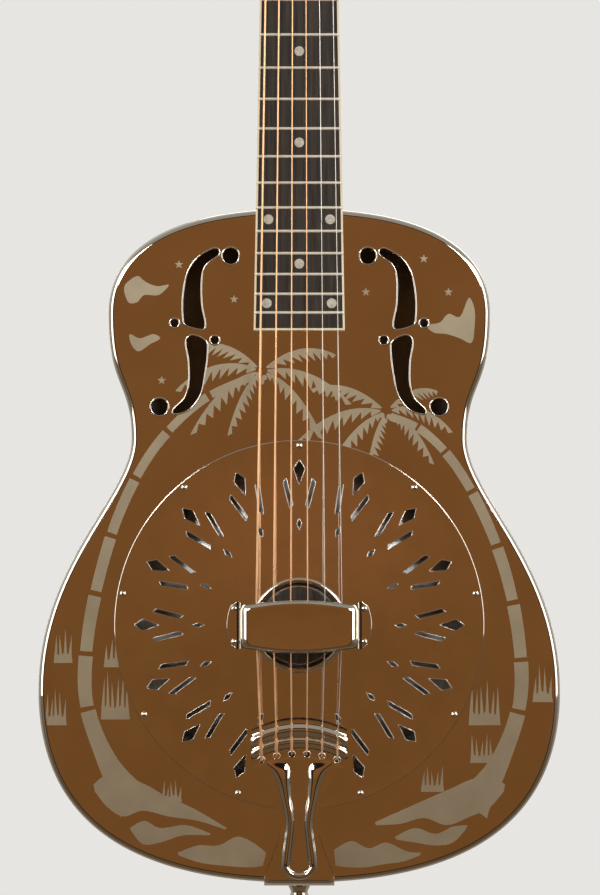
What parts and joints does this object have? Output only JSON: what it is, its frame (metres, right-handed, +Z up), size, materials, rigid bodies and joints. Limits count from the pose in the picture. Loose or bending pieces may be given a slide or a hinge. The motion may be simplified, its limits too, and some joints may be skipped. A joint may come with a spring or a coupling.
{
  "type": "resonator guitar",
  "caption": "Metal-bodied resonator guitar with a perforated coverplate over one cone, two f-holes, a dotted fingerboard and a slotted headstock.",
  "frame": {"origin": "where a wall hanger holds the guitar: in the neck's wood at the nut, on the centre line", "axes": "+Z up the neck towards the headstock, +Y out of the back of the body, +X to the right as the front is seen"},
  "size_m": [0.3604, 0.1143, 1.021],
  "materials": {
    "nickel_body": "nickel plate on brass, mirror polished, with a frosted etching",
    "nickel_trim": "nickel plate, mirror polished",
    "nickel_hardware": "nickel plate, bright",
    "aluminium_cone": "spun, with fine rings",
    "steel": "turned, bright",
    "tuner_key": "nickel plate, bright",
    "string_bronze": "wound bronze wire",
    "string_steel": "plain drawn wire",
    "mahogany": "gloss lacquer",
    "maple": "bare, sanded",
    "dark_wood": "bare, stained dark, with upright grain",
    "spruce": "bare, sanded",
    "dark_fingerboard": "oiled, fine grain, with nickel silver frets and pearl dots",
    "ivory_plastic": "polished ivory-coloured plastic",
    "bone": "polished bone",
    "black_veneer": "gloss lacquer",
    "black_plastic": "polished"
  },
  "bodies": {
    "frame": {"body_top": "nickel_body", "body_sides": "nickel_body", "body_back": "nickel_body", "cone_well": "nickel_body", "coverplate": "nickel_trim", "hand_rest": "nickel_trim", "tailpiece": "nickel_trim", "coverplate_screw_1": "nickel_hardware", "coverplate_screw_2": "nickel_hardware", "coverplate_screw_3": "nickel_hardware", "coverplate_screw_4": "nickel_hardware", "coverplate_screw_5": "nickel_hardware", "coverplate_screw_6": "nickel_hardware", "coverplate_screw_7": "nickel_hardware", "coverplate_screw_8": "nickel_hardware", "coverplate_screw_9": "nickel_hardware", "hand_rest_screw_1": "nickel_hardware", "hand_rest_screw_2": "nickel_hardware", "hand_rest_screw_3": "nickel_hardware", "hand_rest_screw_4": "nickel_hardware", "end_pin": "nickel_hardware", "rod_cover_screw_1": "nickel_hardware", "rod_cover_screw_2": "nickel_hardware", "tuner_plate_left": "nickel_hardware", "tuner_plate_right": "nickel_hardware", "string_1": "string_steel", "string_2": "string_steel", "string_3": "string_bronze", "string_4": "string_bronze", "string_5": "string_bronze", "string_6": "string_bronze", "cone": "aluminium_cone", "biscuit": "dark_wood", "saddle": "maple", "biscuit_screw": "steel", "neck": "mahogany", "neck_stick": "mahogany", "fingerboard_shim": "mahogany", "stick_support_upper": "spruce", "stick_support_lower": "spruce", "fingerboard": "dark_fingerboard", "fingerboard_binding": "ivory_plastic", "nut": "bone", "headstock_overlay": "black_veneer", "truss_rod_cover": "black_plastic", "truss_rod": "steel"},
    "truss_rod_nut": {"truss_rod_nut": "steel"},
    "tuner_key_1": {"tuner_key_1": "tuner_key"},
    "string_roller_1": {"string_roller_1": "steel"},
    "tuner_key_2": {"tuner_key_2": "tuner_key"},
    "string_roller_2": {"string_roller_2": "steel"},
    "tuner_key_3": {"tuner_key_3": "tuner_key"},
    "string_roller_3": {"string_roller_3": "steel"},
    "tuner_key_4": {"tuner_key_4": "tuner_key"},
    "string_roller_4": {"string_roller_4": "steel"},
    "tuner_key_5": {"tuner_key_5": "tuner_key"},
    "string_roller_5": {"string_roller_5": "steel"},
    "tuner_key_6": {"tuner_key_6": "tuner_key"},
    "string_roller_6": {"string_roller_6": "steel"}
  },
  "joints": [
    {"name": "key_1_turn", "type": "hinge", "parent": "frame", "child": "tuner_key_1", "pos_m": [0.04315, 0.01105, 0.04795], "axis": [0, 0.9622, -0.2723], "continuous": true},
    {"name": "roller_1_turn", "type": "hinge", "parent": "frame", "child": "string_roller_1", "pos_m": [0.04315, 0.01313, 0.05532], "axis": [1, 0, 0], "continuous": true},
    {"name": "key_2_turn", "type": "hinge", "parent": "frame", "child": "tuner_key_2", "pos_m": [0.04315, 0.02112, 0.08356], "axis": [0, 0.9622, -0.2723], "continuous": true},
    {"name": "roller_2_turn", "type": "hinge", "parent": "frame", "child": "string_roller_2", "pos_m": [0.04315, 0.02321, 0.09092], "axis": [1, 0, 0], "continuous": true},
    {"name": "key_3_turn", "type": "hinge", "parent": "frame", "child": "tuner_key_3", "pos_m": [0.04315, 0.0312, 0.11916], "axis": [0, 0.9622, -0.2723], "continuous": true},
    {"name": "roller_3_turn", "type": "hinge", "parent": "frame", "child": "string_roller_3", "pos_m": [0.04315, 0.03328, 0.12652], "axis": [1, 0, 0], "continuous": true},
    {"name": "key_4_turn", "type": "hinge", "parent": "frame", "child": "tuner_key_4", "pos_m": [-0.04315, 0.0312, 0.11916], "axis": [0, 0.9622, -0.2723], "continuous": true},
    {"name": "roller_4_turn", "type": "hinge", "parent": "frame", "child": "string_roller_4", "pos_m": [-0.04315, 0.03328, 0.12652], "axis": [1, 0, 0], "continuous": true},
    {"name": "key_5_turn", "type": "hinge", "parent": "frame", "child": "tuner_key_5", "pos_m": [-0.04315, 0.02112, 0.08356], "axis": [0, 0.9622, -0.2723], "continuous": true},
    {"name": "roller_5_turn", "type": "hinge", "parent": "frame", "child": "string_roller_5", "pos_m": [-0.04315, 0.02321, 0.09092], "axis": [1, 0, 0], "continuous": true},
    {"name": "key_6_turn", "type": "hinge", "parent": "frame", "child": "tuner_key_6", "pos_m": [-0.04315, 0.01105, 0.04795], "axis": [0, 0.9622, -0.2723], "continuous": true},
    {"name": "roller_6_turn", "type": "hinge", "parent": "frame", "child": "string_roller_6", "pos_m": [-0.04315, 0.01313, 0.05532], "axis": [1, 0, 0], "continuous": true},
    {"name": "truss_rod_nut_turn", "type": "hinge", "parent": "frame", "child": "truss_rod_nut", "pos_m": [0, -0.00315, 0.0114], "axis": [0, 0.0314, 0.9995], "range_deg": [-180, 180]}
  ],
  "couplings": [
    {"joint": "roller_1_turn", "follows": "key_1_turn", "ratio": -0.066667},
    {"joint": "roller_2_turn", "follows": "key_2_turn", "ratio": -0.066667},
    {"joint": "roller_3_turn", "follows": "key_3_turn", "ratio": -0.066667},
    {"joint": "roller_4_turn", "follows": "key_4_turn", "ratio": -0.066667},
    {"joint": "roller_5_turn", "follows": "key_5_turn", "ratio": -0.066667},
    {"joint": "roller_6_turn", "follows": "key_6_turn", "ratio": -0.066667}
  ]
}
